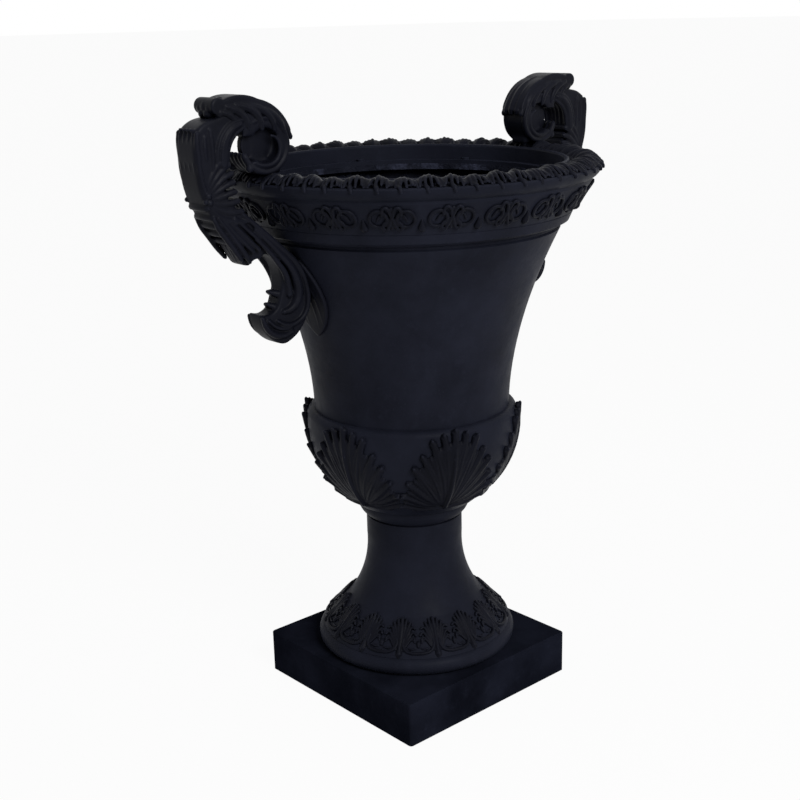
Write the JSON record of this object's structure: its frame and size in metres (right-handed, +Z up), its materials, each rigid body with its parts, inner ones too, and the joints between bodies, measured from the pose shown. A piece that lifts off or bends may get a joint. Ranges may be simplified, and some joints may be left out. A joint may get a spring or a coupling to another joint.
{
  "type": "urn planter",
  "caption": "Garden urn planter: flared bell on a leaf-clad bowl and round foot, square plinth, scroll handles and an overhanging carved rim.",
  "frame": {"origin": "middle of the plinth's underside, on the floor", "axes": "+Z up along the urn's axis, +X towards the right-hand handle, +Y square to the plane of the handles"},
  "size_m": [0.6638, 0.499, 0.824],
  "materials": {
    "body_paint": "satin near-black paint on smooth cast iron",
    "ornament_paint": "satin near-black paint, darker in the hollows of the relief",
    "plinth_paint": "duller near-black paint, slightly mottled",
    "fixings": "blackened iron"
  },
  "bodies": {
    "root": {"plinth": "plinth_paint", "socle": "body_paint", "foot_palmettes": "ornament_paint", "foot_loops": "ornament_paint", "knop_ring": "body_paint", "bowl": "body_paint", "acanthus_leaf_1": "ornament_paint", "acanthus_leaf_2": "ornament_paint", "acanthus_leaf_3": "ornament_paint", "acanthus_leaf_4": "ornament_paint", "acanthus_leaf_5": "ornament_paint", "acanthus_leaf_6": "ornament_paint", "leaf_rivets": "fixings", "bell_body": "body_paint", "frieze_motifs": "ornament_paint", "frieze_beads": "ornament_paint", "rim": "body_paint", "inner_collar": "body_paint", "rim_leaf_border": "ornament_paint", "right_handle_scroll": "ornament_paint", "right_handle_crest": "ornament_paint", "right_handle_backing": "ornament_paint", "left_handle_scroll": "ornament_paint", "left_handle_crest": "ornament_paint", "left_handle_backing": "ornament_paint", "tie_rod": "fixings", "tie_rod_washers": "fixings", "tie_rod_nuts": "fixings", "handle_bolts": "fixings", "bell_screws": "fixings", "rim_screws": "fixings"}
  },
  "joints": []
}
